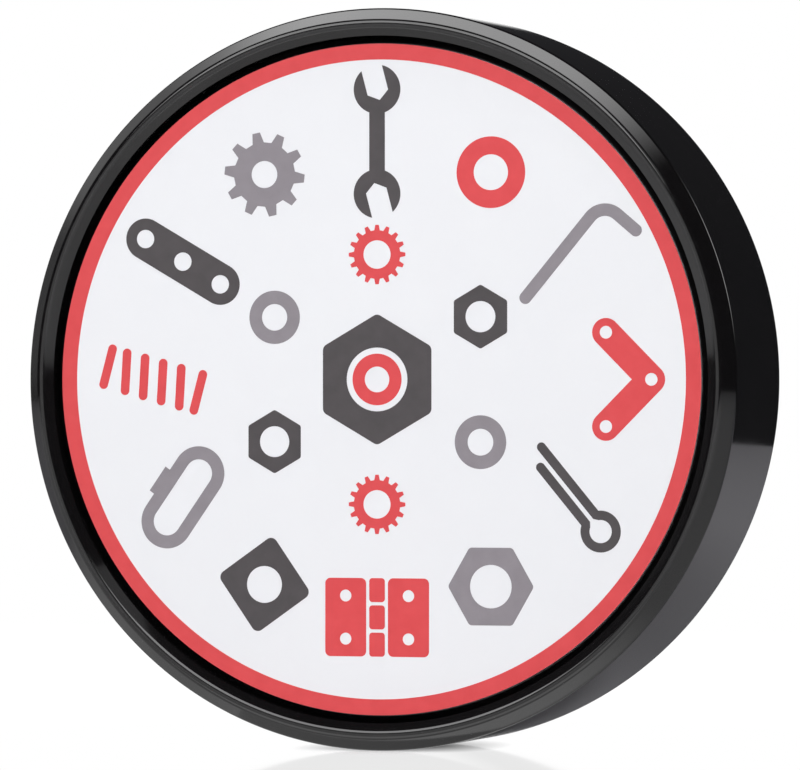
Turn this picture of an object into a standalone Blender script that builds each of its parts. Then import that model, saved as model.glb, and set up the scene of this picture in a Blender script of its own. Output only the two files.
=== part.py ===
"""Magnetic screw holder: a round glossy case with a printed face, magnets inside and a screwed rear cover.

Every piece is drawn about one axis, with the front towards local +Z. The empty named axis then turns the
front towards world -Y and lifts the rim onto the floor at z = 0. All lengths are in metres.
"""

import math

import bmesh
import bpy
from mathutils import Matrix, Vector

# Front case
CASE_RADIUS = 0.0375  # outside of the side wall
SIDE_WALL = 0.0020
FRONT_WALL = 0.0014  # between the label and the magnets
BEZEL_DEPTH = 0.0011  # how far the label's face lies below the bezel's crest
BEZEL_SLOPE = 0.0016  # radial width of the slope from the label up to the crest
BEZEL_LAND = 0.0005  # radial width of the flat crest
BEZEL_CHAMFER = 0.0014  # radial width of the chamfer from the crest out to the side wall
CHAMFER_DROP = 0.00125  # how far that chamfer drops along the axis
EDGE_ROUND = 0.0003  # blends on the bezel
REAR_ROUND = 0.0005  # blend on the case's rear edge

# Label
LABEL_THICKNESS = 0.0004
LABEL_CLEARANCE = 0.0001  # round the label's edge
GLUE_LINE = 0.0001  # under the label and under the rear pad

# Magnets, tray, yoke and foam
MAGNET_DIAMETER = 0.0180
MAGNET_HEIGHT = 0.0080
MAGNET_CHAMFER = 0.0005
MAGNET_PROUD = 0.0015  # how far the magnets stand out behind the tray
RING_MAGNETS = 6  # round the one in the middle, so that all neighbours are equally far apart
POCKET_CLEARANCE = 0.00015  # round a magnet in its pocket
POCKET_WALL = 0.0010  # collar round a pocket
COLLAR_GAP = 0.0004  # between neighbouring collars
TRAY_BASE = 0.0012  # thickness of the plate that joins the collars
TRAY_CLEARANCE = 0.0003  # between that plate and the side wall
YOKE_THICKNESS = 0.0012
YOKE_MARGIN = 0.0010  # how far the yoke and the foam reach past the magnets
YOKE_CHAMFER = 0.0002
FOAM_THICKNESS = 0.0035
SEAT_GAP = 0.00015  # between faces that press on each other

# Rear cover and rear pad
COVER_THICKNESS = 0.0022
COVER_LEDGE = 0.0009  # width of the step in the side wall that carries the cover
COVER_CLEARANCE = 0.00015  # round the cover's edge
COVER_LAND = 0.0006  # least land between a countersink and the cover's edge
COVER_CHAMFER = 0.0003
PAD_LAND = 0.0045  # between the pad and the countersinks
PAD_THICKNESS = 0.0012
PAD_RECESS = 0.0008  # depth of the pocket that the pad is glued into
PAD_CLEARANCE = 0.0002
PAD_ROUND = 0.0003

# Cover screws and their bosses
SCREW_GAPS = (0, 2, 3, 5)  # which of the gaps between the ring's magnets hold a screw
SCREW_LENGTH = 0.0095
SHANK_RADIUS = 0.0009
HEAD_RADIUS = 0.0019
HEAD_RIM = 0.0002  # straight edge of the countersunk head
TIP_LENGTH = 0.0012
RECESS_SPAN = 0.0022  # length of each arm pair of the cross recess
RECESS_WIDTH = 0.0005
RECESS_DEPTH = 0.0006
SCREW_CLEARANCE = 0.00015  # between a screw and its holes
BOSS_RADIUS = 0.0028
BOSS_BLEND = 0.0004  # how far a boss runs into the side wall
BOSS_CLEARANCE = 0.0003  # between the bosses and the pieces that they pass
PILOT_RELIEF = 0.0008  # pilot hole left free beyond the screw's tip

# Fineness of the round shapes
CASE_STEPS = 72
MAGNET_STEPS = 36
SCREW_STEPS = 20
ARC_STEPS = 3
SHARP_ANGLE = math.radians(25)
OVERRUN = 0.001  # how far a cutter runs past the face that it cuts

# Depths behind the bezel's crest, stacked from front to rear
label_face = BEZEL_DEPTH
label_back = label_face + LABEL_THICKNESS
recess_floor = label_back + GLUE_LINE
inner_front = recess_floor + FRONT_WALL
magnet_front = inner_front + SEAT_GAP
magnet_back = magnet_front + MAGNET_HEIGHT
tray_back = magnet_back - MAGNET_PROUD
yoke_front = magnet_back + SEAT_GAP
yoke_back = yoke_front + YOKE_THICKNESS
foam_front = yoke_back + SEAT_GAP
foam_back = foam_front + FOAM_THICKNESS
cover_front = foam_back + SEAT_GAP
ledge_depth = cover_front - SEAT_GAP
case_back = cover_front + COVER_THICKNESS
head_face = case_back - SEAT_GAP
pad_front = case_back - PAD_RECESS + GLUE_LINE
pad_back = pad_front + PAD_THICKNESS
overall_depth = max(case_back, pad_back)

# Radii, worked from the side wall inwards
land_outer = CASE_RADIUS - BEZEL_CHAMFER
land_inner = land_outer - BEZEL_LAND
recess_radius = land_inner - BEZEL_SLOPE
label_radius = recess_radius - LABEL_CLEARANCE
inner_radius = CASE_RADIUS - SIDE_WALL
ledge_radius = inner_radius + COVER_LEDGE
cover_radius = ledge_radius - COVER_CLEARANCE
sink_radius = HEAD_RADIUS + SCREW_CLEARANCE  # where the head's cone begins
mouth_radius = sink_radius + HEAD_RIM + SEAT_GAP  # where the countersink meets the cover's face
wall_limit = inner_radius + BOSS_BLEND - BOSS_RADIUS
cover_limit = cover_radius - COVER_LAND - mouth_radius
screw_circle = min(wall_limit, cover_limit)
pad_radius = screw_circle - mouth_radius - PAD_LAND
tray_radius = inner_radius - TRAY_CLEARANCE
magnet_radius = MAGNET_DIAMETER / 2
pocket_radius = magnet_radius + POCKET_CLEARANCE
collar_radius = pocket_radius + POCKET_WALL
magnet_circle = 2 * collar_radius + COLLAR_GAP
yoke_radius = magnet_circle + magnet_radius + YOKE_MARGIN
rest_height = CASE_RADIUS * math.cos(math.pi / CASE_STEPS)  # the rim rests on one flat of its facets


def local_z(depth):
    """Place on the axis of a plane that lies this deep behind the bezel's crest."""
    return overall_depth / 2 - depth


def fillet(before, corner, after, radius):
    """Points of the arc that rounds one corner of a profile."""
    to_before = (before - corner).normalized()
    to_after = (after - corner).normalized()
    half_angle = to_before.angle(to_after) / 2
    reach = radius / math.tan(half_angle)
    centre = corner + (to_before + to_after).normalized() * radius / math.sin(half_angle)
    start = corner + to_before * reach - centre
    end = corner + to_after * reach - centre
    turns = [start.normalized().slerp(end.normalized(), step / ARC_STEPS) for step in range(ARC_STEPS + 1)]
    return [centre + turn * radius for turn in turns]


def rounded(corners):
    """Profile points from (radius, z, fillet) corners, given from the axis back to the axis."""
    spots = [Vector(corner[:2]) for corner in corners]
    points = []
    for index, corner in enumerate(corners):
        if corner[2] > 0:
            points += fillet(spots[index - 1], spots[index], spots[index + 1], corner[2])
        else:
            points.append(spots[index])
    return points


def make_collection(name):
    collection = bpy.data.collections.new(name)
    bpy.context.scene.collection.children.link(collection)
    return collection


def make_material(name, colour, roughness, metallic=0.0):
    material = bpy.data.materials.new(name)
    material.use_nodes = True
    shader = material.node_tree.nodes["Principled BSDF"]
    shader.inputs["Base Color"].default_value = (*colour, 1.0)
    shader.inputs["Roughness"].default_value = roughness
    shader.inputs["Metallic"].default_value = metallic
    return material


def add_object(name, mesh, collection, location=(0, 0, 0), turn=(0, 0, 0)):
    """A new object that hangs on the common axis."""
    obj = bpy.data.objects.new(name, mesh)
    obj.parent = axis
    obj.location = location
    obj.rotation_euler = turn
    collection.objects.link(obj)
    return obj


def add_turned(name, profile, steps, location=(0, 0, 0), turn=(0, 0, 0)):
    """A solid of revolution whose profile starts and ends on the axis."""
    mesh = bpy.data.meshes.new(name)
    vertices = [(point[0], 0, point[1]) for point in profile]
    edges = [(index, index + 1) for index in range(len(profile) - 1)]
    mesh.from_pydata(vertices, edges, [])
    obj = add_object(name, mesh, parts, location, turn)
    screw = obj.modifiers.new("turn", "SCREW")
    screw.steps = steps
    screw.render_steps = steps
    screw.use_merge_vertices = True
    screw.merge_threshold = 1e-6
    return obj


def add_disc(name, radius, front, back, chamfer, steps, location=(0, 0), turn=0.0):
    """A plain disc between two depths, with chamfered or sharp rims."""
    top = local_z(front)
    bottom = local_z(back)
    if chamfer > 0:
        rim = [
            (radius - chamfer, top),
            (radius, top - chamfer),
            (radius, bottom + chamfer),
            (radius - chamfer, bottom),
        ]
    else:
        rim = [(radius, top), (radius, bottom)]
    profile = [(0, top), *rim, (0, bottom)]
    return add_turned(name, profile, steps, (*location, 0), (0, 0, turn))


def add_helper(name, mesh, location, turn=(0, 0, 0)):
    """A shape that only cuts or joins, and isn't a part."""
    obj = add_object(name, mesh, helpers, location, turn)
    obj.hide_render = True
    obj.display_type = "WIRE"
    return obj


def cone_helper(name, front_radius, back_radius, front, back, steps, place):
    """A round helper, straight or tapered, between two depths."""
    mesh = bpy.data.meshes.new(name)
    shape = bmesh.new()
    bmesh.ops.create_cone(
        shape,
        cap_ends=True,
        segments=steps,
        radius1=back_radius,
        radius2=front_radius,
        depth=back - front,
    )
    shape.to_mesh(mesh)
    shape.free()
    return add_helper(name, mesh, (*place, local_z((front + back) / 2)))


def box_helper(name, size, location, turn=(0, 0, 0)):
    mesh = bpy.data.meshes.new(name)
    shape = bmesh.new()
    bmesh.ops.create_cube(shape, size=1, matrix=Matrix.Diagonal((*size, 1)))
    shape.to_mesh(mesh)
    shape.free()
    return add_helper(name, mesh, location, turn)


def combine(obj, helper, operation):
    boolean = obj.modifiers.new(helper.name, "BOOLEAN")
    boolean.operation = operation
    boolean.object = helper


def settle(obj, material):
    """Applies the modifiers, shades the round faces smooth and gives the part its material."""
    bpy.context.view_layer.update()
    graph = bpy.context.evaluated_depsgraph_get()
    mesh = bpy.data.meshes.new_from_object(obj.evaluated_get(graph))
    mesh.name = obj.name
    obj.modifiers.clear()
    obj.data = mesh
    mesh.shade_smooth()
    mesh.set_sharp_from_angle(angle=SHARP_ANGLE)
    mesh.materials.clear()
    mesh.materials.append(material)


def on_circle(radius, angle):
    return (radius * math.cos(angle), radius * math.sin(angle))


def magnet_places():
    """Centres of the ring of magnets."""
    step = 2 * math.pi / RING_MAGNETS
    return [on_circle(magnet_circle, step * index) for index in range(RING_MAGNETS)]


def screw_places():
    """Centres of the cover screws, each half-way between two magnets of the ring."""
    step = 2 * math.pi / RING_MAGNETS
    return [on_circle(screw_circle, step * (gap + 0.5)) for gap in SCREW_GAPS]


def clear_bosses(obj, front, back):
    """Cuts a notch wherever a boss passes this piece."""
    notch_radius = BOSS_RADIUS + BOSS_CLEARANCE
    for number, place in enumerate(screw_places(), 1):
        notch = cone_helper(
            f"{obj.name}_notch_{number}",
            notch_radius,
            notch_radius,
            front - OVERRUN,
            back + OVERRUN,
            SCREW_STEPS,
            place,
        )
        combine(obj, notch, "DIFFERENCE")


def build_front_case():
    """Cup with the bezel in front, a stepped rear edge for the cover and a boss for each screw."""
    lip = CASE_RADIUS - ledge_radius
    profile = rounded(
        [
            (0, local_z(recess_floor), 0),
            (recess_radius, local_z(recess_floor), 0),
            (recess_radius, local_z(label_face), 0),
            (land_inner, local_z(0), min(EDGE_ROUND, BEZEL_LAND / 2)),
            (land_outer, local_z(0), min(EDGE_ROUND, BEZEL_LAND / 2)),
            (CASE_RADIUS, local_z(CHAMFER_DROP), EDGE_ROUND),
            (CASE_RADIUS, local_z(case_back), min(REAR_ROUND, lip / 2)),
            (ledge_radius, local_z(case_back), 0),
            (ledge_radius, local_z(ledge_depth), 0),
            (inner_radius, local_z(ledge_depth), 0),
            (inner_radius, local_z(inner_front), 0),
            (0, local_z(inner_front), 0),
        ]
    )
    case = add_turned("front_case", profile, CASE_STEPS, turn=(0, 0, math.pi / CASE_STEPS))
    boss_foot = inner_front - FRONT_WALL / 2
    pilot_end = head_face - SCREW_LENGTH - PILOT_RELIEF
    pilot_radius = SHANK_RADIUS + SCREW_CLEARANCE
    for number, place in enumerate(screw_places(), 1):
        boss = cone_helper(
            f"boss_{number}", BOSS_RADIUS, BOSS_RADIUS, boss_foot, ledge_depth, SCREW_STEPS, place
        )
        combine(case, boss, "UNION")
        pilot = cone_helper(
            f"pilot_{number}",
            pilot_radius,
            pilot_radius,
            pilot_end,
            ledge_depth + OVERRUN,
            SCREW_STEPS,
            place,
        )
        combine(case, pilot, "DIFFERENCE")
    settle(case, make_material("gloss_black_abs", (0.012, 0.011, 0.012), 0.12))


def build_face_label():
    """Flat printed disc, glued into the recess behind the bezel."""
    label = add_disc(
        "face_label", label_radius, label_face, label_back, 0, CASE_STEPS, turn=math.pi / CASE_STEPS
    )
    settle(label, make_material("white_print_film", (0.88, 0.89, 0.93), 0.45))


def build_magnets():
    material = make_material("ferrite", (0.045, 0.045, 0.048), 0.6, 0.2)
    places = {"magnet_centre": (0, 0)}
    for number, place in enumerate(magnet_places(), 1):
        places[f"magnet_{number}"] = place
    for name, place in places.items():
        magnet = add_disc(
            name, magnet_radius, magnet_front, magnet_back, MAGNET_CHAMFER, MAGNET_STEPS, place
        )
        settle(magnet, material)


def build_magnet_tray():
    """Moulded plate that fits the side wall and the bosses, with a collar round each magnet."""
    plate_back = magnet_front + TRAY_BASE
    tray = add_disc("magnet_tray", tray_radius, magnet_front, plate_back, 0, CASE_STEPS)
    clear_bosses(tray, magnet_front, plate_back)
    for number, place in enumerate([(0, 0), *magnet_places()]):
        collar = cone_helper(
            f"collar_{number}",
            collar_radius,
            collar_radius,
            magnet_front + TRAY_BASE / 2,
            tray_back,
            MAGNET_STEPS,
            place,
        )
        combine(tray, collar, "UNION")
        pocket = cone_helper(
            f"pocket_{number}",
            pocket_radius,
            pocket_radius,
            magnet_front - OVERRUN,
            tray_back + OVERRUN,
            MAGNET_STEPS,
            place,
        )
        combine(tray, pocket, "DIFFERENCE")
    settle(tray, make_material("grey_tray_plastic", (0.25, 0.25, 0.26), 0.5))


def build_yoke_plate():
    yoke = add_disc("yoke_plate", yoke_radius, yoke_front, yoke_back, YOKE_CHAMFER, CASE_STEPS)
    clear_bosses(yoke, yoke_front, yoke_back)
    settle(yoke, make_material("zinc_plated_steel", (0.62, 0.63, 0.65), 0.32, 1.0))


def build_foam_pad():
    foam = add_disc("foam_pad", yoke_radius, foam_front, foam_back, 0, CASE_STEPS)
    clear_bosses(foam, foam_front, foam_back)
    settle(foam, make_material("grey_foam", (0.07, 0.07, 0.075), 0.95))


def build_rear_cover():
    """Disc that closes the case, with countersunk holes and a shallow pocket for the pad."""
    pocket = pad_radius + PAD_CLEARANCE
    profile = rounded(
        [
            (0, local_z(cover_front), 0),
            (cover_radius, local_z(cover_front), 0),
            (cover_radius, local_z(case_back), COVER_CHAMFER),
            (pocket, local_z(case_back), 0),
            (pocket, local_z(case_back - PAD_RECESS), 0),
            (0, local_z(case_back - PAD_RECESS), 0),
        ]
    )
    cover = add_turned("rear_cover", profile, CASE_STEPS, turn=(0, 0, math.pi / CASE_STEPS))
    hole_radius = SHANK_RADIUS + SCREW_CLEARANCE
    sink_start = head_face - HEAD_RIM - (sink_radius - hole_radius)
    sink_end = case_back + OVERRUN
    for number, place in enumerate(screw_places(), 1):
        hole = cone_helper(
            f"cover_hole_{number}",
            hole_radius,
            hole_radius,
            cover_front - OVERRUN,
            sink_end,
            SCREW_STEPS,
            place,
        )
        combine(cover, hole, "DIFFERENCE")
        sink = cone_helper(
            f"countersink_{number}",
            hole_radius,
            mouth_radius + OVERRUN,
            sink_start,
            sink_end,
            SCREW_STEPS,
            place,
        )
        combine(cover, sink, "DIFFERENCE")
    settle(cover, make_material("matt_black_abs", (0.018, 0.018, 0.019), 0.45))


def build_rear_pad():
    top = local_z(pad_front)
    bottom = local_z(pad_back)
    profile = rounded(
        [
            (0, top, 0),
            (pad_radius, top, 0),
            (pad_radius, bottom, min(PAD_ROUND, PAD_THICKNESS / 2)),
            (0, bottom, 0),
        ]
    )
    pad = add_turned("rear_pad", profile, CASE_STEPS)
    settle(pad, make_material("black_rubber", (0.022, 0.022, 0.023), 0.8))


def build_cover_screws():
    """Countersunk self-tapping screws, drawn as plain shanks, heads flush with the rear cover."""
    cone = HEAD_RADIUS - SHANK_RADIUS
    profile = [
        Vector((0, 0)),
        Vector((HEAD_RADIUS, 0)),
        Vector((HEAD_RADIUS, -HEAD_RIM)),
        Vector((SHANK_RADIUS, -HEAD_RIM - cone)),
        Vector((SHANK_RADIUS, TIP_LENGTH - SCREW_LENGTH)),
        Vector((0, -SCREW_LENGTH)),
    ]
    material = make_material("black_oxide_steel", (0.05, 0.05, 0.055), 0.35, 1.0)
    towards_rear = math.pi
    for number, place in enumerate(screw_places(), 1):
        spot = (*place, local_z(head_face))
        screw = add_turned(
            f"cover_screw_{number}", profile, SCREW_STEPS, spot, (towards_rear, 0, 0)
        )
        for arm, turn in (("a", 0.0), ("b", math.pi / 2)):
            slot = box_helper(
                f"recess_{number}{arm}",
                (RECESS_SPAN, RECESS_WIDTH, 2 * RECESS_DEPTH),
                spot,
                (0, 0, turn),
            )
            combine(screw, slot, "DIFFERENCE")
        settle(screw, material)


for leftover in list(bpy.data.objects):
    bpy.data.objects.remove(leftover, do_unlink=True)
parts = make_collection("magnetic_screw_holder")
helpers = make_collection("cutters")
axis = bpy.data.objects.new("axis", None)
axis.location = (0, 0, rest_height)
axis.rotation_euler = (math.pi / 2, 0, 0)
parts.objects.link(axis)

build_front_case()
build_face_label()
build_magnets()
build_magnet_tray()
build_yoke_plate()
build_foam_pad()
build_rear_cover()
build_rear_pad()
build_cover_screws()
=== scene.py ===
"""Looks of the magnetic screw holder: fine surfaces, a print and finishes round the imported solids.

Pieces are drawn about the holder's axis with the front towards local +Z, and AXIS stands them up.
"""

import math

import bmesh
import bpy
from mathutils import Matrix, Vector
from mathutils.geometry import tessellate_polygon


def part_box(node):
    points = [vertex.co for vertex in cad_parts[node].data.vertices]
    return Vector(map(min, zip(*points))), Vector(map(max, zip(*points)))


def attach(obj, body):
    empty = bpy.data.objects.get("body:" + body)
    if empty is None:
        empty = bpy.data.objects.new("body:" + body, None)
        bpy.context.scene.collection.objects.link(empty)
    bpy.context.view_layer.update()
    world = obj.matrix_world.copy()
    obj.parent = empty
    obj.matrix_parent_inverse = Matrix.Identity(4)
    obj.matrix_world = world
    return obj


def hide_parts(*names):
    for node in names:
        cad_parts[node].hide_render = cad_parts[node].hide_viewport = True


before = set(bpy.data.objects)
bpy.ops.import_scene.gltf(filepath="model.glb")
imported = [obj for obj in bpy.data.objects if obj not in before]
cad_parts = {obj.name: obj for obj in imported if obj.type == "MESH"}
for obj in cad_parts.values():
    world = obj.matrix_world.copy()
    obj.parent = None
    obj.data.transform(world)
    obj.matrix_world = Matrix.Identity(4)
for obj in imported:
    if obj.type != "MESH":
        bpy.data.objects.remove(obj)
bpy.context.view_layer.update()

MM = 0.001

# Camera, matched to the photograph: level, and turned towards +X
CAMERA_AZIMUTH = math.radians(17.78)
CAMERA_DISTANCE = 0.675
CAMERA_LENS = 297.6  # millimetres
CAMERA_SENSOR = 36.0  # its width, in millimetres
CAMERA_LEFT = 0.25 * MM  # sideways and downward steps that place the object in the picture
CAMERA_DOWN = 0.56 * MM
CLIP_START = 0.01
CLIP_END = 20.0

# Front case: walls, gaps and bosses as in the solids
SIDE_WALL = 2.0 * MM
FRONT_WALL = 1.4 * MM
GLUE_LINE = 0.1 * MM  # under the label
LABEL_CLEARANCE = 0.1 * MM  # round the label's edge
REAR_ROUND = 0.5 * MM
COVER_LEDGE = 0.9 * MM  # width of the step that carries the cover
SEAT_GAP = 0.15 * MM  # between faces that press on each other
BOSS_RADIUS = 2.8 * MM
BOSS_CLEARANCE = 0.3 * MM  # between the bosses and the discs that pass them
PILOT_RADIUS = 1.05 * MM
PILOT_RELIEF = 0.8 * MM  # pilot hole left free beyond the screw's tip

# Bezel, and the groove round the label, drawn finer than in the solids
LABEL_GROOVE = 0.70 * MM  # width of the groove
GROOVE_FALL = math.radians(45)  # how steeply its floor falls outwards
BEZEL_RISE = math.radians(34.5)  # how steeply the bezel climbs from the groove to its crest
BEZEL_FALL = math.radians(41.8)  # and falls from there to the wall
CREST_INSET = 1.58 * MM  # how far the crest lies inside the side wall's outer face
CREST_ROUND = 0.8 * MM
SHOULDER_ROUND = 0.5 * MM

# Label and print
LABEL_ROUND = 0.06 * MM
INK_THICKNESS = 0.02 * MM
RIM_RING_WIDTH = 1.6 * MM
OUTER_MOTIFS_AT = 24.0 * MM
INNER_MOTIFS_AT = 12.6 * MM
INNER_REPEATS = 2  # how often the inner ring goes through its motifs
TOOTH_FOOT = 0.30  # half widths of a printed tooth, as shares of the teeth's pitch
TOOTH_TIP = 0.15

# Rear cover, rear pad and screws
COVER_EDGE_ROUND = 0.3 * MM
PAD_RECESS = 0.8 * MM
PAD_CLEARANCE = 0.2 * MM
PAD_ROUND = 0.3 * MM
GRIP_GROOVES = 9  # in the pad's rear face
GRIP_WIDTH = 0.7 * MM  # of a groove at its mouth
GRIP_FLOOR = 0.28 * MM  # and at its floor
GRIP_DEPTH = 0.35 * MM
SHANK_RADIUS = 0.9 * MM
HEAD_RIM = 0.2 * MM
HEAD_EDGE = 0.05 * MM  # bevel round the head's face
THREAD_PITCH = 0.75 * MM
THREAD_HEIGHT = 0.14 * MM
THREAD_FOOT = 0.5  # share of the pitch that the thread covers
TIP_LENGTH = 1.2 * MM
RECESS_SPAN = 2.2 * MM
RECESS_WIDTH = 0.5 * MM
RECESS_DEPTH = 0.75 * MM
RECESS_TAPER = 0.45  # span of the recess cutter at its bottom, as a share of that at its top
RECESS_THINNING = 0.78  # and its width there, likewise

# Inside
MAGNET_ROUND = 0.5 * MM
MAGNET_CLEARANCE = 0.15 * MM  # round a magnet in its pocket
POCKET_WALL = 1.0 * MM
TRAY_BASE = 1.2 * MM
TRAY_ROUND = 0.25 * MM
YOKE_ROUND = 0.2 * MM
FOAM_BULGE = 0.4 * MM  # how far the foam's pressed edge swells

# Fineness of the round shapes
CASE_STEPS = 288
DISC_STEPS = 96
SCREW_STEPS = 48
ARC_STEPS = 8
SWELL_STEPS = 8  # across the foam's edge
THREAD_ROWS = 8  # per turn of the thread
CIRCLE_STEPS = 72
HOLE_STEPS = 36  # for small holes in the print
CORNER_STEPS = 24  # for its small corners, counted over a full circle
SHARP_ANGLE = math.radians(35)
OVERRUN = 1.0 * MM  # how far a cutter runs past the face that it cuts
SLIVER = 0.002 * MM  # points closer than this are merged after a cut

# Stage, with lengths in metres
FLOOR_FRONT = -1.0
FLOOR_BACK = 0.31
FLOOR_SIDE = 0.9
FLOOR_TONE = (0.92, 0.92, 0.93)
# tone of the painted shadow on the floor behind the holder
FLOOR_PAINTED_SHADOW = (0.57, 0.56, 0.59)
FLOOR_GLOSS = 0.25  # share of gloss near the holder
FLOOR_POLISH = 0.06  # roughness of that gloss
FLOOR_GLOW = 1.07  # brightness of the floor where it shows white, and of its painted reflection
SHADE_START = -0.002  # from here to the rear the floor darkens into a painted shadow
SHADE_FULL = 0.006
GLOW_START = 0.004  # from here outwards the camera sees the floor as white as the background
GLOW_FULL = 0.016
GLOW_ACROSS = 1.5  # how much sooner it does so sideways than along the holder's axis
GLOSS_FULL = 0.05  # from here outwards the floor's gloss fades
GLOSS_END = 0.12
SURROUND = (0.022, 0.022, 0.024)
BACKGROUND = (1.0, 1.0, 1.0)
CARD_SPREAD = math.radians(15)  # half the width of the white card behind the holder
CARD_TOP = math.radians(5)
CARD_EDGE = math.radians(2)  # width of its soft edges
OVERHEAD = (0.0, 0.0, 1.0)
TOP_ROLL = math.radians(-15.8)


def span(node):
    """Radius, front and back of a round CAD node, measured along the holder's axis."""
    low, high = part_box(node)
    return (high.x - low.x) / 2, -low.y, -high.y


def place_of(node):
    """Where a CAD node's middle lies across the holder's axis."""
    low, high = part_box(node)
    middle = (low + high) / 2
    return Vector((middle.x, middle.z - centre_height))


case_radius, crest, case_back = span("front_case")
label_radius, label_front, label_back = span("face_label")
cover_radius, cover_front, cover_back = span("rear_cover")
pad_radius, pad_front, pad_back = span("rear_pad")
centre_height = case_radius
AXIS = Matrix.Translation((0, 0, centre_height)) @ Matrix.Rotation(math.pi / 2, 4, "X")
screw_nodes = sorted(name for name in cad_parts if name.startswith("cover_screw"))
magnet_nodes = sorted(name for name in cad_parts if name.startswith("magnet_") and "tray" not in name)
screw_places = [place_of(name) for name in screw_nodes]


# Meshes


def fillet(before, corner, after, radius):
    """Points of the arc that rounds one corner of a profile."""
    to_before = (before - corner).normalized()
    to_after = (after - corner).normalized()
    half_angle = to_before.angle(to_after) / 2
    reach = radius / math.tan(half_angle)
    centre = corner + (to_before + to_after).normalized() * radius / math.sin(half_angle)
    start = (corner + to_before * reach - centre).normalized()
    end = (corner + to_after * reach - centre).normalized()
    return [centre + start.slerp(end, step / ARC_STEPS) * radius for step in range(ARC_STEPS + 1)]


def rounded(corners):
    """Profile points from (radius, z, fillet) corners, given from the axis back to the axis."""
    spots = [Vector(corner[:2]) for corner in corners]
    points = []
    for index, corner in enumerate(corners):
        if corner[2] > 0:
            points += fillet(spots[index - 1], spots[index], spots[index + 1], corner[2])
        else:
            points.append(spots[index])
    return points


def turned(name, profile, steps, ripple=None):
    """A closed mesh swept round the axis from (radius, z) points that start and end on it."""
    shape = bmesh.new()
    rows = []
    for radius, height in profile:
        if radius == 0:
            rows.append([shape.verts.new((0, 0, height))])
            continue
        ring = []
        for step in range(steps):
            angle = 2 * math.pi * step / steps
            reach = radius + ripple(angle, height) if ripple else radius
            ring.append(shape.verts.new((reach * math.cos(angle), reach * math.sin(angle), height)))
        rows.append(ring)
    for upper, lower in zip(rows, rows[1:]):
        for step in range(steps):
            after = step + 1
            corners = [
                upper[step % len(upper)],
                lower[step % len(lower)],
                lower[after % len(lower)],
                upper[after % len(upper)],
            ]
            shape.faces.new(list(dict.fromkeys(corners)))
    mesh = bpy.data.meshes.new(name)
    shape.to_mesh(mesh)
    shape.free()
    return mesh


def plate(name, outlines, bottom, top):
    """A closed thin plate from outlines, each a list of loops of which the first is the outside."""
    shape = bmesh.new()
    for loops in outlines:
        flat = [point for loop in loops for point in loop]
        lower = [shape.verts.new((point[0], point[1], bottom)) for point in flat]
        upper = [shape.verts.new((point[0], point[1], top)) for point in flat]
        for corners in tessellate_polygon([[Vector((*point, 0)) for point in loop] for loop in loops]):
            shape.faces.new([upper[index] for index in corners])
            shape.faces.new([lower[index] for index in reversed(corners)])
        start = 0
        for loop in loops:
            for step in range(len(loop)):
                here = start + step
                after = start + (step + 1) % len(loop)
                shape.faces.new([lower[here], lower[after], upper[after], upper[here]])
            start += len(loop)
    bmesh.ops.recalc_face_normals(shape, faces=shape.faces[:])
    mesh = bpy.data.meshes.new(name)
    shape.to_mesh(mesh)
    shape.free()
    return mesh


def disc(radius, front, back, front_round, back_round):
    """Profile of a flat disc with its two edges rounded."""
    return rounded([(0, front, 0), (radius, front, front_round), (radius, back, back_round), (0, back, 0)])


def add_piece(name, mesh):
    """An object for a mesh, linked into the scene."""
    piece = bpy.data.objects.new(name, mesh)
    bpy.context.scene.collection.objects.link(piece)
    return piece


def turned_piece(name, profile, steps=CASE_STEPS):
    """A piece swept round the axis, named like its mesh."""
    return add_piece(name, turned(name, profile, steps))


def turned_cutter(profile, place, steps=SCREW_STEPS):
    """A helper body turned from (radius, z) points and set at a place on the face."""
    cutter = turned_piece("cutter", profile, steps)
    cutter.data.transform(Matrix.Translation((*place, 0)))
    return cutter


def round_cutter(radius, front, back, place, steps=SCREW_STEPS):
    """A straight round body between two heights on the axis."""
    return turned_cutter([(0, front), (radius, front), (radius, back), (0, back)], place, steps)


def combine(piece, helper, operation):
    """Cuts or joins a helper at once, and removes it."""
    boolean = piece.modifiers.new("combine", "BOOLEAN")
    boolean.operation = operation
    boolean.object = helper
    bpy.context.view_layer.update()
    graph = bpy.context.evaluated_depsgraph_get()
    mesh = bpy.data.meshes.new_from_object(piece.evaluated_get(graph))
    shape = bmesh.new()
    shape.from_mesh(mesh)
    bmesh.ops.dissolve_degenerate(shape, dist=SLIVER, edges=shape.edges[:])
    bmesh.ops.remove_doubles(shape, verts=shape.verts[:], dist=SLIVER)
    shape.to_mesh(mesh)
    shape.free()
    piece.modifiers.clear()
    piece.data = mesh
    bpy.data.objects.remove(helper, do_unlink=True)


def settle(piece, finish, slot, *nodes):
    """Shades a piece, gives it its finish, stands it up, hangs it on the root and hides the solids it
    replaces.
    """
    piece.data.name = piece.name
    piece.data.materials.clear()
    piece.data.materials.append(finish)
    piece.data.shade_smooth()
    piece.data.set_sharp_from_angle(angle=SHARP_ANGLE)
    weighted = piece.modifiers.new("weighted_normals", "WEIGHTED_NORMAL")
    weighted.keep_sharp = True
    piece.matrix_world = AXIS
    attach(piece, "root")
    if nodes:
        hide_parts(*nodes)


# Finishes


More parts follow.
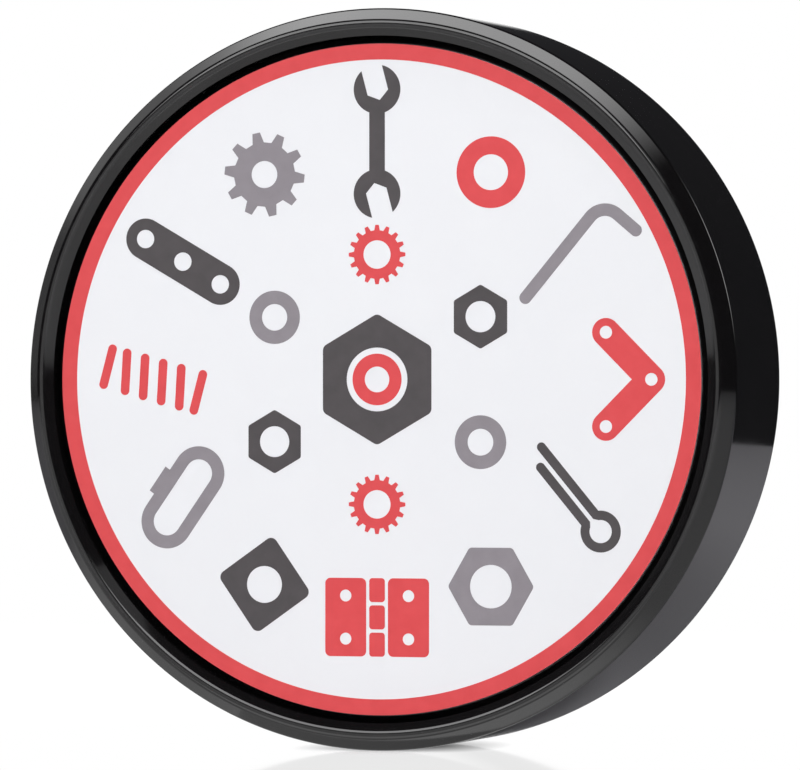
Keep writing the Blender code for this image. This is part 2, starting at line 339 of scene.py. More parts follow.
class Nodes:
    """Short calls for the nodes of one tree."""

    def __init__(self, tree):
        self.tree = tree

    def add(self, kind, links=(), **values):
        """A new node, with values set by socket name and outputs linked by (socket, output) pairs."""
        node = self.tree.nodes.new(kind)
        for socket, value in values.items():
            node.inputs[socket.replace("_", " ")].default_value = value
        for socket, output in links:
            self.tree.links.new(output, node.inputs[socket])
        return node

    def spread(self, factor, low, high, start=0.3, end=0.7, smooth=False):
        """Maps a factor's range onto another one, with both ends held."""
        ends = {"From_Min": start, "From_Max": end, "To_Min": low, "To_Max": high}
        node = self.add("ShaderNodeMapRange", [("Value", factor)], **ends)
        if smooth:
            node.interpolation_type = "SMOOTHSTEP"
        return node.outputs["Result"]

    def calculate(self, operation, first, second=None):
        """A calculation on one or two outputs, of which the second may be a number."""
        node = self.tree.nodes.new("ShaderNodeMath")
        node.operation = operation
        self.tree.links.new(first, node.inputs[0])
        if isinstance(second, float):
            node.inputs[1].default_value = second
        elif second is not None:
            self.tree.links.new(second, node.inputs[1])
        return node.outputs[0]

    def multiply(self, first, second):
        return self.calculate("MULTIPLY", first, second)

    def plus(self, first, second):
        return self.calculate("ADD", first, second)

    def vectors(self, operation, vector, constant=None):
        """Outputs of a calculation on a vector and, where it takes one, a constant."""
        node = self.tree.nodes.new("ShaderNodeVectorMath")
        node.operation = operation
        self.tree.links.new(vector, node.inputs[0])
        if constant is not None:
            node.inputs[1].default_value = constant
        return node.outputs

    def blend(self, factor, first, second):
        """A colour between two, each a colour or an output."""
        node = self.tree.nodes.new("ShaderNodeMix")
        node.data_type = "RGBA"
        self.tree.links.new(factor, node.inputs["Factor"])
        for socket, colour in ((node.inputs[6], first), (node.inputs[7], second)):
            if isinstance(colour, tuple):
                socket.default_value = (*colour, 1.0)
            else:
                self.tree.links.new(colour, socket)
        return node.outputs[2]


class Finish(Nodes):
    """A Principled material with short calls for what feeds it."""

    def __init__(self, name, **uniform):
        self.material = bpy.data.materials.new(name)
        self.material.use_nodes = True
        super().__init__(self.material.node_tree)
        self.shader = self.tree.nodes["Principled BSDF"]
        for socket, value in uniform.items():
            self.shader.inputs[socket.replace("_", " ")].default_value = value
        self.place = self.add("ShaderNodeTexCoord").outputs["Object"]

    def noise(self, size, detail=3.0, stretch=(1, 1, 1), distortion=0.0):
        """Smooth noise whose grains are about this size, in metres."""
        mapped = self.add("ShaderNodeMapping", [("Vector", self.place)], Scale=stretch).outputs["Vector"]
        node = self.add(
            "ShaderNodeTexNoise",
            [("Vector", mapped)],
            Scale=1 / size,
            Detail=detail,
            Distortion=distortion,
        )
        return node.outputs["Fac"]

    def cells(self, size):
        """Distance from the nearest of many points that lie about this far apart."""
        node = self.add("ShaderNodeTexVoronoi", [("Vector", self.place)], Scale=1 / size)
        return node.outputs["Distance"]

    def mix_shaders(self, factor, first, second):
        node = self.tree.nodes.new("ShaderNodeMixShader")
        for socket, output in zip(node.inputs, (factor, first, second)):
            self.tree.links.new(output, socket)
        return node.outputs["Shader"]

    def reach(self, across=1.0):
        """Distance from the local Z axis, with the steps along X counted this many times."""
        flat = self.vectors("MULTIPLY", self.place, (across, 1, 0))["Vector"]
        return self.vectors("LENGTH", flat)["Value"]

    def bump(self, height, depth, strength=1.0, under=None):
        """Relief of this depth in metres, on top of another relief if one is given."""
        links = [("Height", height)]
        if under is not None:
            links.append(("Normal", under))
        return self.add("ShaderNodeBump", links, Strength=strength, Distance=depth).outputs["Normal"]

    def feed(self, **outputs):
        """Links outputs to the shader's sockets and hands over the material."""
        for socket, output in outputs.items():
            self.tree.links.new(output, self.shader.inputs[socket.replace("_", " ")])
        return self.material


def gloss_black():
    """Polished black ABS: faint orange peel, handling haze, and dull specks along the bezel's crest."""
    finish = Finish("gloss_black_abs", IOR=1.52)
    crest_radius = case_radius - CREST_INSET
    reach = finish.reach()
    rising = finish.spread(reach, 0.0, 1.0, crest_radius - CREST_ROUND, crest_radius)
    falling = finish.spread(reach, 1.0, 0.0, crest_radius, crest_radius + CREST_ROUND)
    specks = finish.spread(finish.noise(0.9 * MM, 4.0), 0.0, 1.0, 0.52, 0.68)
    wear = finish.multiply(finish.multiply(rising, falling), specks)
    haze = finish.noise(14 * MM, 4.0, distortion=0.6)
    tone = finish.blend(haze, (0.0040, 0.0036, 0.0040), (0.0062, 0.0056, 0.0060))
    worn = finish.blend(wear, tone, (0.0085, 0.0080, 0.0083))
    smudge = finish.spread(haze, 0.05, 0.085)
    dulled = finish.spread(wear, 0.0, 0.05, 0.0, 1.0)
    rough = finish.plus(smudge, dulled)
    peel = finish.bump(finish.noise(2.6 * MM, 2.0), 0.003 * MM, 0.5)
    scratches = finish.noise(0.25 * MM, 2.0, stretch=(0.08, 1.0, 0.5), distortion=1.5)
    normal = finish.bump(scratches, 0.0003 * MM, 0.2, peel)
    return finish.feed(Base_Color=worn, Roughness=rough, Normal=normal)


def print_film():
    """White coated film with a trace of pulp tone and a satin top."""
    finish = Finish("white_print_film", IOR=1.46)
    cloud = finish.noise(6 * MM, 4.0)
    tone = finish.blend(cloud, (0.815, 0.822, 0.852), (0.835, 0.841, 0.866))
    rough = finish.spread(finish.noise(1.2 * MM), 0.36, 0.48)
    normal = finish.bump(finish.noise(0.12 * MM, 2.0), 0.002 * MM, 0.5)
    return finish.feed(Base_Color=tone, Roughness=rough, Normal=normal)


def ink(name, light, dark):
    """Screen-printed ink: mottled laydown with fine pinholes of tone."""
    finish = Finish(name, IOR=1.48)
    mottle = finish.spread(finish.noise(1.6 * MM, 5.0), 0.0, 1.0, 0.3, 0.7)
    tone = finish.blend(mottle, dark, light)
    rough = finish.spread(finish.noise(0.6 * MM), 0.34, 0.50)
    normal = finish.bump(finish.noise(0.15 * MM, 2.0), 0.003 * MM, 0.6)
    return finish.feed(Base_Color=tone, Roughness=rough, Normal=normal)


def moulded_black():
    """Spark-eroded matt black ABS with polished spots where it has been handled."""
    finish = Finish("matt_black_abs", IOR=1.5)
    rub = finish.noise(9 * MM, 4.0, distortion=0.8)
    tone = finish.blend(rub, (0.0125, 0.0122, 0.0125), (0.0200, 0.0196, 0.0198))
    rough = finish.spread(rub, 0.62, 0.42)
    grain = finish.bump(finish.noise(0.22 * MM, 3.0), 0.030 * MM, 0.7)
    return finish.feed(Base_Color=tone, Roughness=rough, Normal=grain)


def black_rubber():
    """Dull rubber with a bloom of pale dust in blotches and a fine skin."""
    finish = Finish("black_rubber", IOR=1.5)
    blotch = finish.noise(5 * MM, 5.0, distortion=0.5)
    dust = finish.spread(finish.noise(0.5 * MM, 4.0), 0.0, 0.7, 0.55, 0.75)
    tone = finish.blend(blotch, (0.016, 0.016, 0.016), (0.028, 0.028, 0.027))
    dusty = finish.blend(finish.multiply(dust, blotch), tone, (0.10, 0.10, 0.095))
    rough = finish.spread(blotch, 0.70, 0.92)
    skin = finish.bump(finish.noise(0.3 * MM, 3.0), 0.02 * MM, 0.6)
    return finish.feed(Base_Color=dusty, Roughness=rough, Normal=skin)


def black_oxide():
    """Blackened steel, rubbed bright in small patches."""
    finish = Finish("black_oxide_steel", Metallic=1.0)
    rub = finish.spread(finish.noise(0.5 * MM, 5.0), 0.0, 1.0, 0.56, 0.72)
    film = finish.noise(1.5 * MM, 3.0)
    tone = finish.blend(film, (0.050, 0.050, 0.056), (0.095, 0.092, 0.090))
    worn = finish.blend(rub, tone, (0.42, 0.41, 0.39))
    rough = finish.spread(film, 0.26, 0.46)
    normal = finish.bump(finish.noise(0.08 * MM, 2.0), 0.006 * MM, 0.5)
    return finish.feed(Base_Color=worn, Roughness=rough, Normal=normal)


def ferrite():
    """Sintered ferrite: charcoal grains, chalky rubs and tiny pits."""
    finish = Finish("ferrite", IOR=1.9)
    grain = finish.noise(0.4 * MM, 5.0)
    rub = finish.spread(finish.noise(4 * MM, 4.0), 0.0, 0.6, 0.5, 0.75)
    tone = finish.blend(grain, (0.030, 0.030, 0.033), (0.062, 0.061, 0.063))
    rubbed = finish.blend(rub, tone, (0.11, 0.11, 0.112))
    rough = finish.spread(grain, 0.48, 0.75)
    normal = finish.bump(grain, 0.03 * MM, 0.6)
    return finish.feed(Base_Color=rubbed, Roughness=rough, Normal=normal)


def zinc_plate():
    """Zinc-plated sheet: spangle cells, rolling lines and a faint passivation tint."""
    finish = Finish("zinc_plated_steel", Metallic=1.0)
    spangle = finish.spread(finish.cells(2.5 * MM), 0.0, 1.0, 0.0, 0.8)
    tint = finish.noise(12 * MM, 3.0)
    tone = finish.blend(spangle, (0.55, 0.57, 0.60), (0.70, 0.70, 0.68))
    tinted = finish.blend(finish.spread(tint, 0.0, 0.35), tone, (0.62, 0.60, 0.48))
    rolling = finish.noise(0.2 * MM, 2.0, stretch=(0.03, 1.0, 1.0))
    rough = finish.spread(rolling, 0.24, 0.42)
    return finish.feed(Base_Color=tinted, Roughness=rough, Normal=finish.bump(rolling, 0.004 * MM, 0.4))


def tray_plastic():
    """Grey moulding with flow marks and a satin skin."""
    finish = Finish("grey_tray_plastic", IOR=1.5)
    flow = finish.noise(7 * MM, 4.0, stretch=(1.0, 1.0, 0.3), distortion=1.2)
    tone = finish.blend(flow, (0.225, 0.225, 0.235), (0.285, 0.285, 0.290))
    rough = finish.spread(flow, 0.42, 0.60)
    normal = finish.bump(finish.noise(0.3 * MM, 3.0), 0.012 * MM, 0.6)
    return finish.feed(Base_Color=tone, Roughness=rough, Normal=normal)


def grey_foam():
    """Closed-cell foam: pale cell walls round pores painted darker, a painted shade in their hollows."""
    finish = Finish("grey_foam", IOR=1.4)
    pores = finish.cells(0.45 * MM)
    # painted shade: darker towards each pore's middle, where the bump dips
    tone = finish.blend(finish.spread(pores, 0.0, 1.0, 0.1, 0.7), (0.040, 0.040, 0.044), (0.105, 0.105, 0.11))
    rough = finish.spread(finish.noise(2 * MM), 0.88, 1.0)
    normal = finish.bump(pores, 0.12 * MM, 0.8)
    return finish.feed(Base_Color=tone, Roughness=rough, Normal=normal)


# Case, label, rear cover, rear pad and screws


def build_case():
    """Cup with its bezel, the stepped rear edge that carries the cover, and a boss for each screw."""
    recess_floor = label_back - GLUE_LINE
    inner_front = recess_floor - FRONT_WALL
    recess_radius = label_radius + LABEL_CLEARANCE
    foot_radius = recess_radius + LABEL_GROOVE
    groove_floor = recess_floor - LABEL_GROOVE * math.tan(GROOVE_FALL)
    apex_radius = case_radius - CREST_INSET
    sharpness = (math.sin(BEZEL_RISE) + math.sin(BEZEL_FALL)) / math.sin(BEZEL_RISE + BEZEL_FALL)
    apex = crest + CREST_ROUND * (sharpness - 1)
    foot = apex - (apex_radius - foot_radius) * math.tan(BEZEL_RISE)
    shoulder = apex - CREST_INSET * math.tan(BEZEL_FALL)
    inner_radius = case_radius - SIDE_WALL
    ledge_radius = inner_radius + COVER_LEDGE
    ledge = cover_front + SEAT_GAP
    profile = rounded(
        [
            (0, recess_floor, 0),
            (recess_radius, recess_floor, 0),
            (foot_radius, groove_floor, 0),
            (foot_radius, foot, 0),
            (apex_radius, apex, CREST_ROUND),
            (case_radius, shoulder, SHOULDER_ROUND),
            (case_radius, case_back, REAR_ROUND),
            (ledge_radius, case_back, 0),
            (ledge_radius, ledge, 0),
            (inner_radius, ledge, 0),
            (inner_radius, inner_front, 0),
            (0, inner_front, 0),
        ]
    )
    case = turned_piece("case_shell", profile)
    for node, place in zip(screw_nodes, screw_places):
        tip = span(node)[1]
        boss = round_cutter(BOSS_RADIUS, inner_front + FRONT_WALL / 2, ledge, place)
        combine(case, boss, "UNION")
        pilot = round_cutter(PILOT_RADIUS, tip + PILOT_RELIEF, ledge - OVERRUN, place)
        combine(case, pilot, "DIFFERENCE")
    settle(case, gloss_black(), "case_gloss", "front_case")


def build_label():
    """Film with a softened front edge."""
    profile = disc(label_radius, label_front, label_back, LABEL_ROUND, 0)
    label = turned_piece("label_film", profile)
    settle(label, print_film(), "label_print", "face_label")


def build_cover():
    """Rear cover with a pocket for the pad and a countersunk hole for each screw."""
    pocket_radius = pad_radius + PAD_CLEARANCE
    pocket_floor = cover_back + PAD_RECESS
    profile = rounded(
        [
            (0, cover_front, 0),
            (cover_radius, cover_front, 0),
            (cover_radius, cover_back, COVER_EDGE_ROUND),
            (pocket_radius, cover_back, 0),
            (pocket_radius, pocket_floor, 0),
            (0, pocket_floor, 0),
        ]
    )
    cover = turned_piece("rear_cover_moulding", profile)
    head_radius = span(screw_nodes[0])[0]
    mouth = head_radius + HEAD_RIM + 2 * SEAT_GAP
    top = cover_front + OVERRUN
    for node, place in zip(screw_nodes, screw_places):
        head_face = span(node)[2]
        seat = head_face - SEAT_GAP
        outline = [
            (0, top),
            (PILOT_RADIUS, top),
            (PILOT_RADIUS, seat + mouth - PILOT_RADIUS),
            (mouth + OVERRUN, seat - OVERRUN),
            (0, seat - OVERRUN),
        ]
        combine(cover, turned_cutter(outline, place), "DIFFERENCE")
    settle(cover, moulded_black(), "cover_matt", "rear_cover")


def build_pad():
    """Rubber disc with concentric grip grooves in its rear face."""
    pitch = pad_radius / (GRIP_GROOVES + 1)
    rear = [(0, pad_back)]
    for number in range(1, GRIP_GROOVES + 1):
        middle = number * pitch
        rear += [
            (middle - GRIP_WIDTH / 2, pad_back),
            (middle - GRIP_FLOOR / 2, pad_back + GRIP_DEPTH),
            (middle + GRIP_FLOOR / 2, pad_back + GRIP_DEPTH),
            (middle + GRIP_WIDTH / 2, pad_back),
        ]
    rim = disc(pad_radius, pad_front, pad_back, 0, PAD_ROUND)
    profile = rim[:-1] + [Vector(point) for point in reversed(rear)]
    pad = turned_piece("rubber_disc", profile)
    settle(pad, black_rubber(), "pad_rubber", "rear_pad")


def thread_ripple(low, high):
    """Height of a sharp helical thread over the shank between two heights."""

    def ripple(angle, height):
        if not low < height < high:
            return 0.0
        phase = (height / THREAD_PITCH - angle / (2 * math.pi)) % 1.0
        fade = min(1.0, (height - low) / THREAD_PITCH, (high - height) / THREAD_PITCH)
        return THREAD_HEIGHT * fade * max(0.0, 1.0 - abs(phase - 0.5) * 2 / THREAD_FOOT)

    return ripple


def build_screws():
    """Countersunk self-tapping screws with a rolled thread and a cross recess."""
    finish = black_oxide()
    for number, (node, place) in enumerate(zip(screw_nodes, screw_places), 1):
        head_radius, tip, head_face = span(node)
        length = tip - head_face
        neck = -HEAD_RIM - (head_radius - SHANK_RADIUS)
        tip_start = TIP_LENGTH - length
        rows = round((neck - tip_start) / THREAD_PITCH * THREAD_ROWS)
        head = [(0, 0), (head_radius - HEAD_EDGE, 0), (head_radius, -HEAD_EDGE), (head_radius, -HEAD_RIM)]
        shank = [(SHANK_RADIUS, neck + (tip_start - neck) * row / rows) for row in range(rows + 1)]
        point = [(SHANK_RADIUS / 2, (tip_start - length) / 2), (0, -length)]
        ripple = thread_ripple(tip_start, neck)
        name = f"tapping_screw_{number}"
        screw = add_piece(name, turned(name, head + shank + point, SCREW_STEPS, ripple))
        for turn in (0.0, math.pi / 2):
            combine(screw, recess_arm(turn), "DIFFERENCE")
        towards_rear = Matrix.Rotation(math.pi, 4, "X")
        screw.data.transform(Matrix.Translation((*place, head_face)) @ towards_rear)
        settle(screw, finish, "screw_steel", node)


def recess_arm(turn):
    """One tapered arm of the cross recess."""
    mesh = bpy.data.meshes.new("arm")
    shape = bmesh.new()
    bmesh.ops.create_cube(shape, size=2)
    for corner in shape.verts:
        at_bottom = corner.co.z < 0
        span_share = RECESS_TAPER if at_bottom else 1.0
        width_share = RECESS_THINNING if at_bottom else 1.0
        corner.co = Vector(
            (
                corner.co.x * RECESS_SPAN / 2 * span_share,
                corner.co.y * RECESS_WIDTH / 2 * width_share,
                corner.co.z * RECESS_DEPTH,
            )
        )
    shape.to_mesh(mesh)
    shape.free()
    mesh.transform(Matrix.Rotation(turn, 4, "Z"))
    return add_piece("arm", mesh)


# Inside


def build_magnets():
    """Disc magnets with rounded edges."""
    finish = ferrite()
    for node in magnet_nodes:
        radius, front, back = span(node)
        profile = disc(radius, front, back, MAGNET_ROUND, MAGNET_ROUND)
        magnet = turned_piece(node.replace("magnet", "ferrite_disc"), profile, DISC_STEPS)
        magnet.data.transform(Matrix.Translation((*place_of(node), 0)))
        settle(magnet, finish, "ferrite", node)


def clear_bosses(piece, front, back):
    """Cuts the notches that let a disc pass the case's bosses."""
    reach = BOSS_RADIUS + BOSS_CLEARANCE
    for place in screw_places:
        combine(piece, round_cutter(reach, front + OVERRUN, back - OVERRUN, place), "DIFFERENCE")


def build_tray():
    """Plate with a round-topped collar and a through pocket for each magnet."""
    radius, front, back = span("magnet_tray")
    base = front - TRAY_BASE
    tray = turned_piece("tray_moulding", disc(radius, front, base, TRAY_ROUND, TRAY_ROUND))
    magnet_radius = span(magnet_nodes[0])[0]
    pocket_radius = magnet_radius + MAGNET_CLEARANCE
    collar_radius = pocket_radius + POCKET_WALL
    collar_profile = disc(collar_radius, base + TRAY_BASE / 2, back, 0, TRAY_ROUND)
    for node in magnet_nodes:
        combine(tray, turned_cutter(collar_profile, place_of(node), DISC_STEPS), "UNION")
    for node in magnet_nodes:
        ends = (front + OVERRUN, back - OVERRUN)
        pocket = round_cutter(pocket_radius, *ends, place_of(node), DISC_STEPS)
        combine(tray, pocket, "DIFFERENCE")
    clear_bosses(tray, front, back)
    settle(tray, tray_plastic(), "tray_plastic", "magnet_tray")


def build_yoke():
    """Stamped disc with rolled-over edges."""
    radius, front, back = span("yoke_plate")
    yoke = turned_piece("stamped_yoke", disc(radius, front, back, YOKE_ROUND, YOKE_ROUND))
    clear_bosses(yoke, front, back)
    settle(yoke, zinc_plate(), "zinc_steel", "yoke_plate")


def build_foam():
    """Foam disc whose pressed edge swells between its two faces."""
    radius, front, back = span("foam_pad")
    middle = (front + back) / 2
    half = (front - back) / 2
    rim = []
    for step in range(SWELL_STEPS + 1):
        angle = math.pi / 2 - math.pi * step / SWELL_STEPS
        rim.append((radius - FOAM_BULGE * (1 - math.cos(angle)), middle + half * math.sin(angle)))
    foam = turned_piece("foam_disc", [(0, front), *rim, (0, back)])
    clear_bosses(foam, front, back)
    settle(foam, grey_foam(), "foam", "foam_pad")


# Print


def arc(radius, start, end, centre=(0, 0), steps=CIRCLE_STEPS):
    """Points from one angle to another, in degrees."""
    count = max(2, round(steps * abs(end - start) / 360))
    angles = [math.radians(start + (end - start) * step / count) for step in range(count + 1)]
    return [(centre[0] + radius * math.cos(a), centre[1] + radius * math.sin(a)) for a in angles]


def circle(radius, centre=(0, 0), steps=CIRCLE_STEPS):
    return arc(radius, 0, 360, centre, steps)[:-1]


def long_loop(radius, straight):
    """A loop with two straight sides and round ends."""
    return arc(radius, 0, 180, (0, straight)) + arc(radius, 180, 360, (0, -straight))


def stroke(path, width):
    """Outline of a line of constant width with round ends."""
    points = [Vector(point) for point in path]
    left = []
    right = []
    for index, point in enumerate(points):
        before = points[max(index - 1, 0)]
        after = points[min(index + 1, len(points) - 1)]
        along = (after - before).normalized()
        side = Vector((-along.y, along.x)) * width / 2
        left.append(point + side)
        right.append(point - side)
    ends = []
    for tip, towards in ((points[-1], points[-1] - points[-2]), (points[0], points[0] - points[1])):
        heading = math.degrees(math.atan2(towards.y, towards.x))
        ends.append([Vector(spot) for spot in arc(width / 2, heading + 90, heading - 90, tip)[1:-1]])
    return [tuple(point) for point in left + ends[0] + right[::-1] + ends[1]]


def polygon(sides, apothem, corner):
    """A regular polygon with rounded corners."""
    reach = apothem / math.cos(math.pi / sides)
    spots = [Vector(spot) for spot in arc(reach, 90, 90 + 360, steps=sides)[:-1]]
    points = []
    for index, spot in enumerate(spots):
        points += fillet(spots[index - 1], spot, spots[(index + 1) % sides], corner)
    return [tuple(point) for point in points]


def nut(size, sides, corner, hole):
    """A nut; its corners' and its hole's radius are shares of its size."""
    return [[polygon(sides, size / 2, size * corner), circle(size * hole)]]


def hex_nut(size):
    return nut(size, sides=6, corner=0.06, hole=0.28)


def square_nut(size):
    return nut(size, sides=4, corner=0.10, hole=0.26)


def washer(size):
    hole = size * 0.25
    return [[circle(size / 2), circle(hole)]]


def toothed(size, teeth, root, hole):
    """A ring with outer teeth; root and hole are shares of its radius."""
    profile = ((-TOOTH_FOOT, root), (-TOOTH_TIP, 1.0), (TOOTH_TIP, 1.0), (TOOTH_FOOT, root))
    outline = []
    for tooth in range(teeth):
        for share, reach in profile:
            angle = 2 * math.pi * (tooth + share) / teeth
            outline.append((size / 2 * reach * math.cos(angle), size / 2 * reach * math.sin(angle)))
    return [[outline, circle(size / 2 * hole)]]


def cog(size):
    return toothed(size, teeth=10, root=0.76, hole=0.32)


def tooth_washer(size):
    return toothed(size, teeth=16, root=0.82, hole=0.48)


def quick_link(size):
    """A long link with a threaded sleeve on one side."""
    wide = size * 0.24
    bore = wide * 0.52
    straight = size / 2 - wide
    sleeve = size * 0.13
    swell = size * 0.05
    outside = long_loop(wide, straight)
    outside += [
        (wide, -sleeve),
        (wide + swell, -sleeve),
        (wide + swell, sleeve),
        (wide, sleeve),
    ]
    return [[outside, long_loop(bore, straight)]]


def mending_plate(size):
    """A flat strip with round ends and three holes."""
    wide = size * 0.155
    straight = size / 2 - wide
    hole = wide * 0.45
    holes = [circle(hole, (0, straight * place), HOLE_STEPS) for place in (-1, 0, 1)]
    return [[long_loop(wide, straight), *holes]]


def spanner(size):
    """A double open-ended spanner with its jaws turned aside."""
    head = size * 0.165
    jaw = size * 0.075
    lip = jaw * 0.3
    grip = size * 0.055
    lean = 15
    middle = size / 2 - head * 0.9
    mouth = math.degrees(math.asin(jaw / head))
    waist = math.degrees(math.asin(grip / head))
    centre = Vector((0, middle))
    turn = Matrix.Rotation(math.radians(lean), 2)
    throat = [centre + turn @ Vector(spot) for spot in ((jaw, -lip), (0, -jaw), (-jaw, -lip))]
    half = arc(head, waist - 90, 90 + lean - mouth, centre)
    half += [tuple(spot) for spot in throat]
    half += arc(head, 90 + lean + mouth, 270 - waist, centre)
    return [[half + [(-x, -y) for x, y in half]]]


def hex_key(size):
    """An L-shaped key with a rounded bend."""
    bend = size * 0.16
    arm = size * 0.36
    wire = size * 0.10
    path = [(0, -size / 2), (0, 0)] + arc(bend, 180, 90, (bend, size / 2 - bend)) + [(arm, size / 2)]
    return [[stroke([(x - arm / 3, y) for x, y in path], wire)]]


def corner_bracket(size):
    """A flat L-shaped bracket with three holes, its outer corner at the top left."""
    half = size * 0.15
    hole = half * 0.45
    reach = size / 2 - half
    outside = arc(half, 90, 180, (-reach, reach))
    outside += arc(half, 180, 360, (-reach, -reach))
    outside += [(half - reach, reach - half)]
    outside += arc(half, -90, 90, (reach, reach))
    spots = [(-reach, -reach), (-reach, reach), (reach, reach)]
    return [[outside, *[circle(hole, spot, HOLE_STEPS) for spot in spots]]]


def split_pin(size):
    """A cotter pin: round eye, two legs, one of them shorter."""
    eye = size * 0.13
    gap = size * 0.055
    wire = size * 0.075
    short_leg = size * 0.38
    top = size / 2 - eye - wire / 2
    turn = math.degrees(math.asin(gap / eye))
    path = [(-gap, -size / 2), (-gap, 0)]
    path += arc(eye, 270 - turn, -90 + turn, (0, top))
    path += [(gap, 0), (gap, -short_leg)]
    return [[stroke(path, wire)]]


def slab(left, bottom, right, top, corner):
    """A rectangle with rounded corners."""
    outline = []
    spots = ((right, top, 0), (left, top, 90), (left, bottom, 180), (right, bottom, 270))
    for x, y, start in spots:
        inward = (math.copysign(corner, x - left - corner), math.copysign(corner, y - bottom - corner))
        outline += arc(corner, start, start + 90, (x - inward[0], y - inward[1]), CORNER_STEPS)
    return outline


def hinge(size):
    """A butt hinge laid open: two leaves with holes, and three knuckles between them."""
    half = size / 2
    tall = size * 0.36
    barrel = size * 0.075
    gap = size * 0.03
    hole = size * 0.055
    hole_height = tall * 0.55
    leaf_corner = size * 0.05
    knuckle_corner = size * 0.03
    knuckles = 3
    outlines = []
    for side in (-1, 1):
        edges = sorted((side * (barrel + gap), side * half))
        middle = sum(edges) / 2
        holes = [circle(hole, (middle, height), HOLE_STEPS) for height in (-hole_height, hole_height)]
        outlines.append([slab(edges[0], -tall, edges[1], tall, leaf_corner), *holes])
    knuckle = (2 * tall - (knuckles - 1) * gap) / knuckles
    for number in range(knuckles):
        bottom = -tall + number * (knuckle + gap)
        outlines.append([slab(-barrel, bottom, barrel, bottom + knuckle, knuckle_corner)])
    return outlines


def spring(size):
    """Slanted coils between two flat end coils."""
    wide = size * 0.17
    tall = size * 0.92
    wire = size * 0.085
    slant = size * 0.035
    coils = 6
    outlines = []
    for coil in range(coils):
        height = tall * (coil / (coils - 1) - 0.5)
        lift = slant if 0 < coil < coils - 1 else 0.0
        outlines.append([stroke([(-wide, height - lift), (0, height), (wide, height + lift)], wire)])
    return outlines


# Motifs of the print: what draws them, size in millimetres, ink, and lean in degrees
OUTER_MOTIFS = [
    (spanner, 15.0, "dark", 0),
    (washer, 7.2, "red", 0),
    (hex_key, 12.5, "grey", 20),
    (corner_bracket, 9.5, "red", -45),
    (split_pin, 12.5, "dark", -20),
    (hex_nut, 7.8, "grey", 0),
    (hinge, 11.0, "red", 0),
    (square_nut, 7.2, "dark", 20),
    (quick_link, 11.5, "grey", 25),
    (spring, 11.0, "red", -15),
    (mending_plate, 13.5, "dark", 0),
    (cog, 8.6, "grey", 0),
]
INNER_MOTIFS = [
    (tooth_washer, 6.0, "red", 0),
    (hex_nut, 5.6, "dark", 0),
    (washer, 5.4, "grey", 0),
]
CENTRE_MOTIFS = [
    (hex_nut, 11.5, "dark", 0),
    (washer, 5.2, "red", 0),
]


def moved(outlines, place, turn):
    """Outlines turned and carried to their place on the label."""
    carry = Matrix.Translation((*place, 0)) @ Matrix.Rotation(turn, 4, "Z")
    return [[[tuple((carry @ Vector((*p, 0)))[:2]) for p in loop] for loop in loops] for loops in outlines]


def print_layout():
    """Outlines of the print by ink: the rim ring, two rings of hardware and a nut in the middle."""
    ring_inner = label_radius - RIM_RING_WIDTH
    layout = {"red": [[circle(label_radius, steps=CASE_STEPS), circle(ring_inner, steps=CASE_STEPS)]]}
    rings = [
        (OUTER_MOTIFS, OUTER_MOTIFS_AT),
        (INNER_MOTIFS * INNER_REPEATS, INNER_MOTIFS_AT),
    ]
    for motifs, radius in rings:
        for index, (draw, size, colour, lean) in enumerate(motifs):
            angle = math.pi / 2 - 2 * math.pi * index / len(motifs)
            place = (radius * math.cos(angle), radius * math.sin(angle))
            turn = angle - math.pi / 2 + math.radians(lean)
            layout.setdefault(colour, []).extend(moved(draw(size * MM), place, turn))
    for draw, size, colour, lean in CENTRE_MOTIFS:
        layout[colour] += moved(draw(size * MM), (0, 0), math.radians(lean))
    return layout


def build_print():
    """Thin layers of ink on the label, one piece for each colour."""
    inks = {
        "red": ink("red_ink", (0.72, 0.060, 0.068), (0.68, 0.050, 0.058)),
        "dark": ink("charcoal_ink", (0.068, 0.059, 0.063), (0.055, 0.048, 0.051)),
        "grey": ink("grey_ink", (0.270, 0.245, 0.270), (0.242, 0.219, 0.242)),
    }
    for colour, outlines in print_layout().items():
        mesh = plate(f"print_{colour}", outlines, label_front, label_front + INK_THICKNESS)
        settle(add_piece(f"print_{colour}", mesh), inks[colour], "label_print")


# Stage


def feather(light, share):
    """Lets a light fade out over a share of its width and height, as a softbox's cloth does at its edges."""
    light.use_nodes = True
    nodes = Nodes(light.node_tree)
    place = nodes.add("ShaderNodeNewGeometry").outputs["Parametric"]
    sides = nodes.add("ShaderNodeSeparateXYZ", [("Vector", place)]).outputs
    fades = []
    for side in ("X", "Y"):
        from_middle = nodes.calculate("ABSOLUTE", nodes.calculate("SUBTRACT", sides[side], 0.5))
        fades.append(nodes.spread(from_middle, 1.0, 0.0, 0.5 - share, 0.5, smooth=True))
    nodes.tree.links.new(nodes.multiply(*fades), nodes.tree.nodes["Emission"].inputs["Strength"])


def softbox(name, direction, distance, width, height, radiance, roll=0.0, aim=None, fade=0.0):
    """An area light that faces the holder, or another spot, from a direction, rolled about its own axis."""
    light = bpy.data.lights.new(name, "AREA")
    light.shape = "RECTANGLE"
    light.size = width
    light.size_y = height
    light.energy = radiance * math.pi * width * height
    if fade:
        feather(light, fade)
    lamp = bpy.data.objects.new(name, light)
    bpy.context.scene.collection.objects.link(lamp)
    towards = Vector(direction).normalized()
    target = Vector(aim or (0, 0, centre_height))
    lamp.location = target + towards * distance
    facing = towards.to_track_quat("Z", "Y").to_matrix() @ Matrix.Rotation(roll, 3, "Z")
    lamp.rotation_euler = facing.to_euler()
    lamp.visible_camera = False


